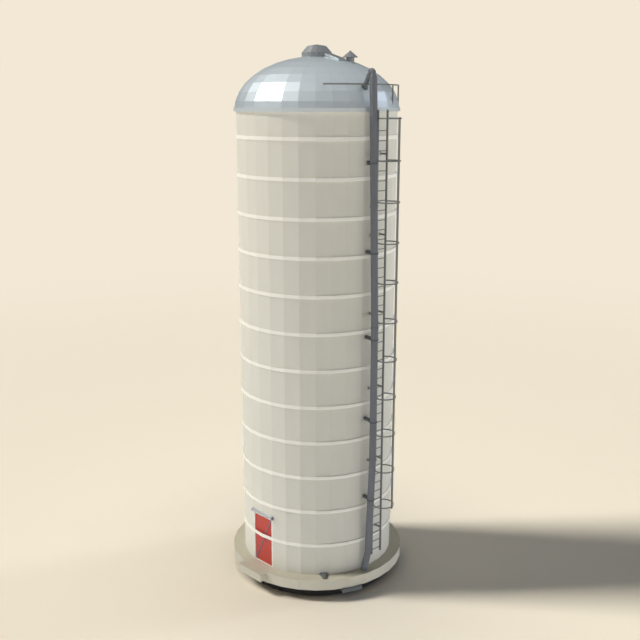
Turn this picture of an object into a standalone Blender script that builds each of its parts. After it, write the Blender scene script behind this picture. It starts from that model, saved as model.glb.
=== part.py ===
"""Farm silo in concrete with a dome roof, a caged ladder, a fill pipe and a base door.

Metres, +Z up. The ground is z = 0 and the silo's axis is the Z axis. The door
faces -Y and the ladder is on +X. An azimuth is measured from -Y towards +X.
"""
import math

import bmesh
import bpy
from mathutils import Matrix, Vector

# Driving dimensions of the shell
GAP = 0.0003
SIDES = 32
FACET = 360.0 / SIDES
WALL_RADIUS = 2.6
WALL_THICKNESS = 0.15
SLAB_RADIUS = 3.0
SLAB_THICKNESS = 0.35
FOOTING_RADIUS = 2.62
FOOTING_HEIGHT = 0.41
SLAB_TOP = FOOTING_HEIGHT + SLAB_THICKNESS
WALL_TOP = 15.9
SEGMENT_FACETS = 4

# Hoops round the wall
HOOP_COUNT = 12
HOOP_FIRST = SLAB_TOP + 1.06
HOOP_SPACING = 1.2
HOOP_HEIGHT = 0.11
HOOP_PROUD = 0.03

# Doorway, its frame and its leaf
OPENING_HALF = 0.47
OPENING_TOP = 2.51
FRAME_WIDTH = 0.04
FRAME_FRONT = -2.552
FRAME_BACK = -2.43
SILL_HEIGHT = 0.015
LEAF_THICKNESS = 0.05
LEAF_FRONT = -2.53
LEAF_CLEARANCE = 0.02
LEAF_END_CLEARANCE = 0.01
PIVOT_INSET = 0.02
PIVOT_RADIUS = 0.014
BRACE_RADIUS = 0.01
DRIP_BAR_ENDS = (-0.49, 0.53)
DRIP_BAR_RADIUS = 0.055
DRIP_BAR_MIDDLE = (-2.585, 2.595)
DRIP_BAR_SIDES = 16
BRACE_SPAN = 0.36
BRACE_LOW = 0.87
BRACE_HIGH = 2.39
LANDING_HALF = 0.58
LANDING_FRONT = -3.2
LANDING_THICKNESS = 0.25

# Roof: a ring on the wall head, a dome of ten-degree rings and a cap
RING_RADIUS = 2.68
RING_BOTTOM = 15.8
RING_TOP = 15.92
DOME_RADIUS = 2.66
DOME_BASE = 15.82
DOME_RISE = 1.68
DOME_STEP = 10.0
DOME_RINGS = 8
DOME_THICKNESS = 0.03
CAP_RADIUS = 0.48
CAP_BOTTOM = 17.43
CAP_SHOULDER = 17.61
CAP_CROWN = 17.81
CAP_CROWN_RADIUS = 0.3
CAP_APEX = 17.86
CAP_SHEET = 0.02
CAP_SIDES = 16
CHUTE_AZIMUTH = 90.0
CHUTE_HALF_WIDTH = 0.146
CHUTE_HALF_DEPTH = 0.08
CHUTE_START = (0.4, 17.522)
CHUTE_END = (1.12, 17.304)
VENT_AZIMUTH = 112.6
VENT_REACH = 1.14
VENT_LIFT = 0.106
VENT_NECK = 0.13
VENT_BRIM = 0.251
VENT_TIP = 0.004
VENT_HAT = 0.21
TRIM_BOTTOM = 15.0

# Fill pipe, its gooseneck and its clamps
PIPE_AZIMUTH = 82.6
PIPE_LINE = ((2.851, 1.45), (3.018, 4.8), (3.023, 9.2), (2.796, 16.825))
PIPE_RADIUS = 0.115
PIPE_SIDES = 16
BORE_MARGIN = 0.0006
FOOT_SHIFT = 0.064
FOOT_LEAN = 0.118
REDUCER_HEIGHT = 0.06
NECK_START = 0.02
NECK_RADIUS = 0.078
NECK_BEND = 0.08
NECK_TURN = 150.0
NECK_STEPS = 10
NECK_LEG = 0.62
HOLE_MARGIN = 0.01
FLANGE_WIDTH = 0.022
FLANGE_THICKNESS = 0.02
CLAMP_SPACING = 2.73
CLAMP_FIRST = 3.37
CLAMP_COUNT = 5
CLAMP_HEIGHT = 0.06
CLAMP_BAND = 0.012
CLAMP_STUB = 0.065

# Ladder and cage
LADDER_REACH = 2.85
LADDER_HALF = 0.2125
STILE_DEPTH = 0.06
STILE_WIDTH = 0.035
STILE_BOTTOM = 1.3
STILE_TOP = 15.86
RUNG_COUNT = 47
RUNG_FIRST = 1.447
RUNG_PITCH = 0.3
RUNG_RADIUS = 0.015
STANDOFF_FIRST = 2.15
STANDOFF_SPACING = 2.48
STANDOFF_COUNT = 6
STANDOFF_HEIGHT = 0.06
STANDOFF_WIDTH = 0.02
CAGE_OFFSET = 0.285
CAGE_RADIUS = 0.35
CAGE_RINGS = 11
CAGE_FIRST = 3.16
CAGE_SPACING = 1.245
CAGE_BAR_HEIGHT = 0.04
CAGE_BAR = 0.01
CAGE_STEPS = 72
CAGE_CLEARANCE = 0.006
STRAP_WIDTH = 0.06
STRAP_THICKNESS = 0.045

# Grab rail over the eave
RAIL_REACH = 2.61
RAIL_HEIGHT = 16.6
RAIL_RADIUS = 0.025
RAIL_STEPS = 24
RAIL_HALF_ANGLE = 40.0
RAIL_POSTS = (109.5, 126.0)
POST_RADIUS = 0.024
RAIL_BRACKETS = (51.0, 89.0)
BRACKET_RADIUS = 0.015
BRACKET_REACH = 2.3

# Fittings at the base
DRAIN_AZIMUTH = 4.5 * FACET
DRAIN_HALF_BACK = 0.13
DRAIN_HALF_FRONT = 0.04
DRAIN_LENGTH = 0.3
DRAIN_HEIGHT = 0.07
DUCT_AZIMUTH = 68.4
DUCT_HALF = 0.35
DUCT_HEIGHT = 0.125
DUCT_OVERHANG = 0.05

CONCRETE = ("silo_concrete", (0.72, 0.69, 0.59, 1.0), 0.85, 0.0)
HOOP_PAINT = ("hoop_cream", (0.86, 0.83, 0.72, 1.0), 0.7, 0.0)
BITUMEN = ("footing_coating", (0.03, 0.03, 0.03, 1.0), 0.9, 0.0)
ROOF_SHEET = ("roof_sheet", (0.48, 0.55, 0.57, 1.0), 0.35, 0.6)
DARK_STEEL = ("dark_steel", (0.12, 0.13, 0.15, 1.0), 0.5, 0.5)
PIPE_PAINT = ("pipe_slate", (0.14, 0.15, 0.17, 1.0), 0.45, 0.3)
GALVANISED = ("galvanised_steel", (0.35, 0.36, 0.36, 1.0), 0.45, 0.8)
DOOR_RED = ("door_red", (0.48, 0.08, 0.06, 1.0), 0.5, 0.0)
FRAME_CREAM = ("frame_cream", (0.8, 0.77, 0.66, 1.0), 0.6, 0.0)


def clear_scene():
    for item in list(bpy.data.objects):
        bpy.data.objects.remove(item, do_unlink=True)


def new_collection(name):
    collection = bpy.data.collections.new(name)
    bpy.context.scene.collection.children.link(collection)
    return collection


def finish(spec):
    """The material of this name, made once."""
    name, colour, roughness, metallic = spec
    found = bpy.data.materials.get(name)
    if found:
        return found
    made = bpy.data.materials.new(name)
    made.use_nodes = True
    shader = made.node_tree.nodes["Principled BSDF"]
    shader.inputs["Base Color"].default_value = colour
    shader.inputs["Roughness"].default_value = roughness
    shader.inputs["Metallic"].default_value = metallic
    return made


def place(name, data, spec=None):
    """Put a mesh or curve in the silo's collection, or with the cutters if it has no finish."""
    item = bpy.data.objects.new(name, data)
    if spec is None:
        cutters.objects.link(item)
        item.hide_render = True
        item.display_type = "WIRE"
        return item
    silo.objects.link(item)
    data.materials.append(finish(spec))
    return item


def polar(radius, azimuth):
    """The plan point at this radius and azimuth in degrees."""
    angle = math.radians(azimuth)
    return Vector((radius * math.sin(angle), -radius * math.cos(angle)))


def turned(name, profile, spec=None, sides=SIDES, closed=True):
    """A profile of (radius, height) points, turned about Z. Its outer side runs downwards."""
    mesh = bpy.data.meshes.new(name)
    edges = [(i, i + 1) for i in range(len(profile) - 1)]
    if closed:
        edges.append((len(profile) - 1, 0))
    mesh.from_pydata([(radius, 0.0, height) for radius, height in profile], edges, [])
    item = place(name, mesh, spec)
    screw = item.modifiers.new("Turn", "SCREW")
    screw.angle = 2.0 * math.pi
    screw.steps = sides
    screw.render_steps = sides
    screw.use_merge_vertices = True
    screw.merge_threshold = 0.0001
    screw.use_smooth_shade = False
    return item


def prism(name, outline, bottom, top, spec=None):
    """A flat outline in plan, raised from bottom to top."""
    curve = bpy.data.curves.new(name, "CURVE")
    curve.dimensions = "2D"
    curve.fill_mode = "BOTH"
    curve.extrude = (top - bottom) / 2.0
    spline = curve.splines.new("POLY")
    spline.points.add(len(outline) - 1)
    for point, spot in zip(spline.points, outline):
        point.co = (spot[0], spot[1], 0.0, 1.0)
    spline.use_cyclic_u = True
    item = place(name, curve, spec)
    item.location.z = (top + bottom) / 2.0
    return item


def block_mesh(name, low, high):
    """A box mesh between two corners."""
    shape = bmesh.new()
    bmesh.ops.create_cube(shape, size=1.0)
    low, high = Vector(low), Vector(high)
    size = Matrix.Diagonal((high - low).to_4d())
    bmesh.ops.transform(shape, matrix=Matrix.Translation((low + high) / 2.0) @ size, verts=shape.verts)
    mesh = bpy.data.meshes.new(name)
    shape.to_mesh(mesh)
    shape.free()
    return mesh


def rod_mesh(name, start, end, radius, sides):
    """A straight round bar from start to end."""
    start, end = Vector(start), Vector(end)
    way = end - start
    shape = bmesh.new()
    bmesh.ops.create_cone(
        shape, cap_ends=True, cap_tris=False, segments=sides,
        radius1=radius, radius2=radius, depth=way.length,
    )
    turn = way.to_track_quat("Z", "Y").to_matrix().to_4x4()
    bmesh.ops.transform(shape, matrix=Matrix.Translation((start + end) / 2.0) @ turn, verts=shape.verts)
    mesh = bpy.data.meshes.new(name)
    shape.to_mesh(mesh)
    shape.free()
    return mesh


def joined_mesh(name, meshes):
    """One mesh that holds several, which are then removed."""
    shape = bmesh.new()
    for mesh in meshes:
        shape.from_mesh(mesh)
        bpy.data.meshes.remove(mesh)
    whole = bpy.data.meshes.new(name)
    shape.to_mesh(whole)
    shape.free()
    return whole


def tube_mesh(name, path, radius, sides):
    """A round tube along a path of points, with closed ends."""
    curve = bpy.data.curves.new(name, "CURVE")
    curve.dimensions = "3D"
    curve.bevel_depth = radius
    curve.bevel_resolution = sides // 4 - 1 if sides % 4 == 0 else 2
    curve.use_fill_caps = True
    spline = curve.splines.new("POLY")
    spline.points.add(len(path) - 1)
    for point, spot in zip(spline.points, path):
        point.co = (spot[0], spot[1], spot[2], 1.0)
    item = bpy.data.objects.new(name, curve)
    cutters.objects.link(item)
    return mesh_of(name, item)


def mesh_of(name, item):
    """The evaluated mesh of a guide object, welded, after which the guide is removed."""
    graph = bpy.context.evaluated_depsgraph_get()
    graph.update()
    mesh = bpy.data.meshes.new_from_object(item.evaluated_get(graph))
    mesh.name = name
    mesh.transform(item.matrix_world)
    shape = bmesh.new()
    shape.from_mesh(mesh)
    bmesh.ops.remove_doubles(shape, verts=shape.verts, dist=0.0001)
    shape.to_mesh(mesh)
    shape.free()
    bpy.data.objects.remove(item, do_unlink=True)
    return mesh


def combine(item, other, operation):
    """A live EXACT Boolean between an object and a guide."""
    step = item.modifiers.new(operation.title(), "BOOLEAN")
    step.operation = operation
    step.solver = "EXACT"
    step.object = other


def dome_outline(offset):
    """The dome's side from its foot on the ring up to the cap, moved out by offset."""
    foot = RING_TOP + GAP
    share = math.sqrt(1.0 - ((foot - DOME_BASE) / DOME_RISE) ** 2)
    points = [((DOME_RADIUS + offset) * share, foot)]
    for i in range(1, DOME_RINGS + 1):
        angle = math.radians(i * DOME_STEP)
        radius = (DOME_RADIUS + offset) * math.cos(angle)
        points.append((radius, DOME_BASE + (DOME_RISE + offset) * math.sin(angle)))
    return points


def dome_solid(name, offset):
    """The dome as a full solid, a little larger by offset, to trim what stands on it."""
    outline = list(reversed(dome_outline(offset)))
    profile = [(0.0, DOME_BASE + DOME_RISE)] + outline
    profile += [(outline[-1][0], TRIM_BOTTOM), (0.0, TRIM_BOTTOM)]
    return turned(name, profile, closed=False)


def dome_height(radius):
    """Height of the dome's smooth outer side at a radius."""
    return DOME_BASE + DOME_RISE * math.sqrt(1.0 - (radius / DOME_RADIUS) ** 2)


def make_base():
    """Coated pad in the ground line, the cast slab on it, and the landing at the door."""
    top = FOOTING_HEIGHT - GAP
    pad = [(0.0, top), (FOOTING_RADIUS, top), (FOOTING_RADIUS, 0.0), (0.0, 0.0)]
    turned("footing", pad, BITUMEN, closed=False)
    slab = [(0.0, SLAB_TOP), (SLAB_RADIUS, SLAB_TOP), (SLAB_RADIUS, FOOTING_HEIGHT), (0.0, FOOTING_HEIGHT)]
    turned("base_slab", slab, CONCRETE, closed=False)
    half = LANDING_HALF
    corner = facet_y(SLAB_RADIUS, half) - GAP
    outline = [(-half, LANDING_FRONT), (half, LANDING_FRONT), (half, corner),
               (0.0, -SLAB_RADIUS - GAP), (-half, corner)]
    prism("door_step", outline, SLAB_TOP - LANDING_THICKNESS, SLAB_TOP, CONCRETE)


def facet_y(radius, x):
    """The y of the polygon of this corner radius at x, on the two facets beside -Y."""
    first = polar(radius, FACET)
    return -radius + (first.y + radius) * abs(x) / first.x


def wall_reach(azimuth, half):
    """How far out the wall's faceted outside comes, along an azimuth and half to each side of it."""
    reach = 0.0
    for side in (-half, 0.0, half):
        within = (azimuth + math.degrees(side / WALL_RADIUS)) % FACET - FACET / 2.0
        reach = max(reach, WALL_RADIUS * math.cos(math.radians(FACET / 2.0)) / math.cos(math.radians(within)))
    return reach


def make_wall():
    """Seven segments of four facets, and the door bay as two cheeks and a piece over the door."""
    inner = WALL_RADIUS - WALL_THICKNESS
    half_gap = math.degrees(GAP / 2.0 / inner)
    bottom, top = SLAB_TOP + GAP, WALL_TOP - GAP
    span = SEGMENT_FACETS * FACET
    for number in range(1, 8):
        start = (number - 0.5) * span
        stops = [start + i * FACET for i in range(SEGMENT_FACETS + 1)]
        stops[0] += half_gap
        stops[-1] -= half_gap
        outline = [polar(WALL_RADIUS, a) for a in stops] + [polar(inner, a) for a in reversed(stops)]
        prism(f"wall_segment_{number}", outline, bottom, top, CONCRETE)
    for name, side in (("wall_door_left", -1.0), ("wall_door_right", 1.0)):
        stops = [side * (span / 2.0 - half_gap), side * FACET]
        outline = [polar(WALL_RADIUS, a) for a in stops]
        outline.append((side * OPENING_HALF, facet_y(WALL_RADIUS, OPENING_HALF)))
        outline.append((side * OPENING_HALF, facet_y(inner, OPENING_HALF)))
        outline += [polar(inner, a) for a in reversed(stops)]
        prism(name, outline, bottom, top, CONCRETE)
    edge = OPENING_HALF - GAP
    outline = [(-edge, facet_y(WALL_RADIUS, edge)), (0.0, -WALL_RADIUS), (edge, facet_y(WALL_RADIUS, edge)),
               (edge, facet_y(inner, edge)), (0.0, -inner), (-edge, facet_y(inner, edge))]
    prism("wall_over_door", outline, OPENING_TOP + GAP, top, CONCRETE)


def make_hoops():
    inside = WALL_RADIUS + 2.0 * GAP
    outside = WALL_RADIUS + HOOP_PROUD
    for number in range(HOOP_COUNT):
        middle = HOOP_FIRST + number * HOOP_SPACING
        low, high = middle - HOOP_HEIGHT / 2.0, middle + HOOP_HEIGHT / 2.0
        profile = [(inside, high), (outside, high), (outside, low), (inside, low)]
        turned(f"hoop_{number + 1:02d}", profile, HOOP_PAINT)


def make_door():
    """Steel frame, a leaf on pivots that opens inwards behind the hoop, and a drip bar over them."""
    outer = OPENING_HALF - GAP
    inner = OPENING_HALF - FRAME_WIDTH
    sill = SLAB_TOP + SILL_HEIGHT
    head = OPENING_TOP - FRAME_WIDTH
    low, high = (-outer, FRAME_FRONT, SLAB_TOP + GAP), (outer, FRAME_BACK, OPENING_TOP - GAP)
    frame = place("door_frame", block_mesh("door_frame", low, high), FRAME_CREAM)
    low, high = (-inner, 2.0 * FRAME_FRONT, sill), (inner, 0.0, head)
    hole = place("doorway_cutter", block_mesh("doorway_cutter", low, high))
    combine(frame, hole, "DIFFERENCE")

    left, right = -inner + LEAF_CLEARANCE, inner - LEAF_CLEARANCE
    low, high = sill + LEAF_END_CLEARANCE, head - LEAF_END_CLEARANCE
    back = LEAF_FRONT + LEAF_THICKNESS
    pivot = Vector((left + PIVOT_INSET, LEAF_FRONT + LEAF_THICKNESS / 2.0, 0.0))
    panel = block_mesh("door_leaf", (left, LEAF_FRONT, low), (right, back, high))
    panel.transform(Matrix.Translation(-pivot))
    leaf = place("door_leaf", panel, DOOR_RED)
    leaf.location = pivot
    foot, tip = (pivot.x, pivot.y, sill + GAP), (pivot.x, pivot.y, head - GAP)
    combine(leaf, place("door_pivot_pins", rod_mesh("door_pivot_pins", foot, tip, PIVOT_RADIUS, 12)), "UNION")
    proud = LEAF_FRONT - 0.4 * BRACE_RADIUS
    foot, tip = (-BRACE_SPAN, proud, BRACE_LOW), (BRACE_SPAN, proud, BRACE_HIGH)
    combine(leaf, place("door_brace_rod", rod_mesh("door_brace_rod", foot, tip, BRACE_RADIUS, 8)), "UNION")

    y, z = DRIP_BAR_MIDDLE
    left, right = [(end, y, z) for end in DRIP_BAR_ENDS]
    bar = rod_mesh("door_drip_bar", left, right, DRIP_BAR_RADIUS, DRIP_BAR_SIDES)
    bar = place("door_drip_bar", bar, GALVANISED)
    low, high = z - 2.0 * DRIP_BAR_RADIUS, z + 2.0 * DRIP_BAR_RADIUS
    face = WALL_RADIUS + 2.0 * GAP
    profile = [(0.0, high), (face, high), (face, low), (0.0, low)]
    combine(bar, turned("drip_bar_trim_cutter", profile, closed=False), "DIFFERENCE")


def make_roof():
    inner = WALL_RADIUS - WALL_THICKNESS
    lap = WALL_RADIUS + 2.0 * GAP
    profile = [(inner, RING_TOP), (RING_RADIUS, RING_TOP), (RING_RADIUS, RING_BOTTOM),
               (lap, RING_BOTTOM), (lap, WALL_TOP), (inner, WALL_TOP)]
    turned("roof_ring", profile, ROOF_SHEET)

    profile = list(reversed(dome_outline(0.0))) + dome_outline(-DOME_THICKNESS)
    dome = turned("roof_dome", profile, ROOF_SHEET)
    hole = leg_rod("pipe_hole_cutter", NECK_RADIUS + HOLE_MARGIN)
    combine(dome, place("pipe_hole_cutter", hole), "DIFFERENCE")


def bore_radius(radius):
    """The corner radius of a polygon bore that clears a round bar of this radius."""
    return (radius + BORE_MARGIN) / math.cos(math.pi / PIPE_SIDES)


def pipe_spot(height):
    """The point on the fill pipe's axis at this height."""
    for low, high in zip(PIPE_LINE, PIPE_LINE[1:]):
        if height <= high[1]:
            break
    share = (height - low[1]) / (high[1] - low[1])
    return polar(low[0] + share * (high[0] - low[0]), PIPE_AZIMUTH).to_3d() + Vector((0.0, 0.0, height))


def neck_path():
    """The gooseneck's axis: up from the pipe's reducer, round its bend and down into the dome."""
    reach, foot = PIPE_LINE[-1][0], PIPE_LINE[-1][1] + REDUCER_HEIGHT + GAP
    path = [(reach, foot)]
    for i in range(NECK_STEPS + 1):
        angle = math.radians(NECK_TURN * i / NECK_STEPS)
        height = foot + NECK_START + NECK_BEND * math.sin(angle)
        path.append((reach - NECK_BEND * (1.0 - math.cos(angle)), height))
    turn = math.radians(NECK_TURN)
    path.append((path[-1][0] - NECK_LEG * math.sin(turn), path[-1][1] + NECK_LEG * math.cos(turn)))
    return [polar(out, PIPE_AZIMUTH).to_3d() + Vector((0.0, 0.0, up)) for out, up in path]


def leg_rod(name, radius):
    """A round bar on the line where the gooseneck enters the roof."""
    start, end = neck_path()[-2:]
    return rod_mesh(name, start, end, radius, PIPE_SIDES)


def make_cap(trim):
    sheet = CAP_SHEET
    profile = [(0.0, CAP_APEX), (CAP_CROWN_RADIUS, CAP_CROWN),
               (CAP_RADIUS, CAP_SHOULDER), (CAP_RADIUS, CAP_BOTTOM),
               (CAP_RADIUS - sheet, CAP_BOTTOM), (CAP_RADIUS - sheet, CAP_SHOULDER - sheet),
               (CAP_CROWN_RADIUS, CAP_CROWN - sheet), (0.0, CAP_APEX - sheet)]
    cap = turned("roof_cap", profile, DARK_STEEL, CAP_SIDES, closed=False)
    combine(cap, trim, "DIFFERENCE")


def make_chute(trim):
    """Box chute from the side of the cap down onto the dome."""
    start = polar(CHUTE_START[0], CHUTE_AZIMUTH).to_3d()
    start.z = CHUTE_START[1]
    end = polar(CHUTE_END[0], CHUTE_AZIMUTH).to_3d()
    end.z = CHUTE_END[1]
    way = end - start
    half, deep = CHUTE_HALF_WIDTH, CHUTE_HALF_DEPTH
    box = block_mesh("roof_chute", (-half, -deep, 0.0), (half, deep, way.length))
    box.transform(Matrix.Translation(start) @ way.to_track_quat("Z", "Y").to_matrix().to_4x4())
    chute = place("roof_chute", box, ROOF_SHEET)
    combine(chute, trim, "DIFFERENCE")
    reach = CAP_RADIUS + GAP
    bore = [(0.0, 2.0 * CAP_APEX), (reach, 2.0 * CAP_APEX), (reach, TRIM_BOTTOM), (0.0, TRIM_BOTTOM)]
    combine(chute, turned("cap_trim_cutter", bore, sides=CAP_SIDES, closed=False), "DIFFERENCE")


def make_vent(trim):
    """Round neck on the dome under a cone hat."""
    brim = dome_height(VENT_REACH) + VENT_LIFT
    spot = polar(VENT_REACH, VENT_AZIMUTH)
    foot, tip = (spot.x, spot.y, RING_TOP), (spot.x, spot.y, brim + VENT_HAT / 4.0)
    neck = place("roof_vent", rod_mesh("roof_vent", foot, tip, VENT_NECK, CAP_SIDES), DARK_STEEL)
    hat = bmesh.new()
    bmesh.ops.create_cone(
        hat, cap_ends=True, segments=CAP_SIDES, radius1=VENT_BRIM, radius2=VENT_TIP, depth=VENT_HAT)
    bmesh.ops.translate(hat, vec=(spot.x, spot.y, brim + VENT_HAT / 2.0), verts=hat.verts)
    hat_mesh = bpy.data.meshes.new("vent_hat_guide")
    hat.to_mesh(hat_mesh)
    hat.free()
    combine(neck, place("vent_hat_guide", hat_mesh), "UNION")
    combine(neck, trim, "DIFFERENCE")


def make_pipe(trim):
    """Fill pipe from the slab to the eave, its bend into the dome, and the flange there."""
    kink, top = pipe_spot(PIPE_LINE[0][1]), pipe_spot(PIPE_LINE[-1][1])
    foot = Vector((kink.x - FOOT_LEAN, kink.y - FOOT_SHIFT, SLAB_TOP + GAP))
    path = [foot + (foot - kink) * 0.3] + [pipe_spot(height) for reach, height in PIPE_LINE]
    pipe = place("fill_pipe", tube_mesh("fill_pipe", path, PIPE_RADIUS, PIPE_SIDES), PIPE_PAINT)
    low, high = (foot.x - 1.0, foot.y - 1.0, 0.0), (foot.x + 1.0, foot.y + 1.0, SLAB_TOP + GAP)
    combine(pipe, place("slab_trim_cutter", block_mesh("slab_trim_cutter", low, high)), "DIFFERENCE")
    reducer = bmesh.new()
    bmesh.ops.create_cone(
        reducer, cap_ends=True, segments=PIPE_SIDES,
        radius1=PIPE_RADIUS, radius2=NECK_RADIUS, depth=2.0 * REDUCER_HEIGHT)
    bmesh.ops.translate(reducer, vec=top, verts=reducer.verts)
    reducer_mesh = bpy.data.meshes.new("reducer_guide")
    reducer.to_mesh(reducer_mesh)
    reducer.free()
    combine(pipe, place("reducer_guide", reducer_mesh), "UNION")

    place("gooseneck", tube_mesh("gooseneck", neck_path(), NECK_RADIUS, PIPE_SIDES), PIPE_PAINT)
    bore = bore_radius(NECK_RADIUS)
    flange = place("roof_flange", leg_rod("roof_flange", bore + FLANGE_WIDTH), DARK_STEEL)
    combine(flange, dome_solid("roof_flange_guide", FLANGE_THICKNESS), "INTERSECT")
    combine(flange, trim, "DIFFERENCE")
    combine(flange, place("flange_bore_cutter", leg_rod("flange_bore_cutter", bore)), "DIFFERENCE")


def make_clamps():
    """Bands that hold the fill pipe to the wall, each on one round stub."""
    for number in range(1, CLAMP_COUNT + 1):
        height = CLAMP_FIRST + (number - 1) * CLAMP_SPACING
        low, middle, high = [pipe_spot(height + step * CLAMP_HEIGHT) for step in (-0.5, 0.0, 0.5)]
        name = f"pipe_clamp_{number}"
        band = rod_mesh(name, low, high, bore_radius(PIPE_RADIUS) + CLAMP_BAND, PIPE_SIDES)
        clamp = place(name, band, DARK_STEEL)
        face = polar(wall_reach(PIPE_AZIMUTH, CLAMP_STUB) + GAP, PIPE_AZIMUTH)
        name = f"clamp_stub_{number}"
        stub = rod_mesh(name, (face.x, face.y, height), middle, CLAMP_STUB, PIPE_SIDES)
        combine(clamp, place(name, stub), "UNION")
        name = f"clamp_bore_{number}"
        below, above = [pipe_spot(height + step * CLAMP_HEIGHT) for step in (-2.0, 2.0)]
        hole = rod_mesh(name, below, above, bore_radius(PIPE_RADIUS), PIPE_SIDES)
        combine(clamp, place(name, hole), "DIFFERENCE")


def make_ladder():
    """Stiles, rungs and stand-offs as one welded ladder."""
    front = LADDER_REACH + STILE_DEPTH / 2.0
    back = LADDER_REACH - STILE_DEPTH / 2.0
    thin = STANDOFF_WIDTH / 2.0
    face = GAP - facet_y(WALL_RADIUS, LADDER_HALF - thin)
    stiles = []
    rungs = []
    arms = []
    for middle in (-LADDER_HALF, LADDER_HALF):
        low = (back, middle - STILE_WIDTH / 2.0, STILE_BOTTOM)
        high = (front, middle + STILE_WIDTH / 2.0, STILE_TOP)
        stiles.append(block_mesh("stile", low, high))
        for i in range(STANDOFF_COUNT):
            height = STANDOFF_FIRST + i * STANDOFF_SPACING
            low = (face, middle - thin, height - STANDOFF_HEIGHT / 2.0)
            high = (LADDER_REACH, middle + thin, height + STANDOFF_HEIGHT / 2.0)
            arms.append(block_mesh("arm", low, high))
    for i in range(RUNG_COUNT):
        height = RUNG_FIRST + i * RUNG_PITCH
        left, right = (LADDER_REACH, -LADDER_HALF, height), (LADDER_REACH, LADDER_HALF, height)
        rungs.append(rod_mesh("rung", left, right, RUNG_RADIUS, 8))
    ladder = place("ladder", joined_mesh("ladder", stiles), DARK_STEEL)
    combine(ladder, place("ladder_arms_guide", joined_mesh("ladder_arms_guide", arms)), "UNION")
    combine(ladder, place("ladder_rungs_guide", joined_mesh("ladder_rungs_guide", rungs)), "UNION")


def cage_reach(angle, radius, pipe, clear):
    """How far a ring's side lies from the cage's middle: bent in where the fill pipe passes."""
    way = Vector((math.cos(angle), math.sin(angle)))
    along, aside = way.dot(pipe), way.cross(pipe)
    if along <= 0.0 or abs(aside) >= clear:
        return radius
    return min(radius, along - math.sqrt(clear * clear - aside * aside))


def make_cage():
    """Hoops of flat bar round the climber, each held by the stiles, and one upright strap."""
    centre = LADDER_REACH + CAGE_OFFSET
    limit = LADDER_HALF + STILE_WIDTH / 2.0 + GAP
    low, high = (WALL_RADIUS, -limit, 0.0), (LADDER_REACH + STILE_DEPTH, limit, CAP_APEX)
    notch = place("cage_notch_cutter", block_mesh("cage_notch_cutter", low, high))

    reach = math.acos(-CAGE_OFFSET / CAGE_RADIUS)
    angles = [-reach + 2.0 * reach * i / CAGE_STEPS for i in range(CAGE_STEPS + 1)]
    wide, narrow = CAGE_RADIUS + CAGE_BAR / 2.0, CAGE_RADIUS - CAGE_BAR / 2.0
    clear = PIPE_RADIUS + CAGE_CLEARANCE
    for i in range(CAGE_RINGS):
        name = f"cage_ring_{i + 1:02d}"
        height = CAGE_FIRST + i * CAGE_SPACING
        pipe = pipe_spot(height).to_2d() - Vector((centre, 0.0))
        outer = [(a, cage_reach(a, wide, pipe, clear)) for a in angles]
        inner = [(a, cage_reach(a, narrow, pipe, clear + CAGE_BAR)) for a in reversed(angles)]
        outline = [(centre + r * math.cos(a), r * math.sin(a)) for a, r in outer + inner]
        low, high = height - CAGE_BAR_HEIGHT / 2.0, height + CAGE_BAR_HEIGHT / 2.0
        flat = prism("cage_ring_guide", outline, low, high)
        bpy.context.view_layer.update()
        ring = place(name, mesh_of(name, flat), DARK_STEEL)
        combine(ring, notch, "DIFFERENCE")

    face = centre + wide + GAP
    half = STRAP_WIDTH / 2.0
    low = (face, -half, CAGE_FIRST - CAGE_BAR_HEIGHT)
    high = (face + STRAP_THICKNESS, half, CAGE_FIRST + (CAGE_RINGS - 1) * CAGE_SPACING + CAGE_BAR_HEIGHT)
    place("cage_strap", block_mesh("cage_strap", low, high), DARK_STEEL)


def make_rail(trim):
    """Grab rail curved round the eave, on two posts and two short brackets."""
    path = []
    for i in range(RAIL_STEPS + 1):
        spot = polar(RAIL_REACH, 90.0 - RAIL_HALF_ANGLE + 2.0 * RAIL_HALF_ANGLE * i / RAIL_STEPS)
        path.append((spot.x, spot.y, RAIL_HEIGHT))
    rail = place("grab_rail", tube_mesh("grab_rail", path, RAIL_RADIUS, 8), DARK_STEEL)
    stands = []
    for azimuth in RAIL_POSTS:
        spot = polar(RAIL_REACH, azimuth)
        low, high = (spot.x, spot.y, RING_TOP), (spot.x, spot.y, RAIL_HEIGHT)
        stands.append(rod_mesh("post", low, high, POST_RADIUS, 8))
    for azimuth in RAIL_BRACKETS:
        near, far = polar(RAIL_REACH, azimuth), polar(BRACKET_REACH, azimuth)
        ends = (near.x, near.y, RAIL_HEIGHT), (far.x, far.y, RAIL_HEIGHT)
        stands.append(rod_mesh("bracket", ends[0], ends[1], BRACKET_RADIUS, 8))
    combine(rail, place("rail_stands_guide", joined_mesh("rail_stands_guide", stands)), "UNION")
    combine(rail, trim, "DIFFERENCE")


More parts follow.
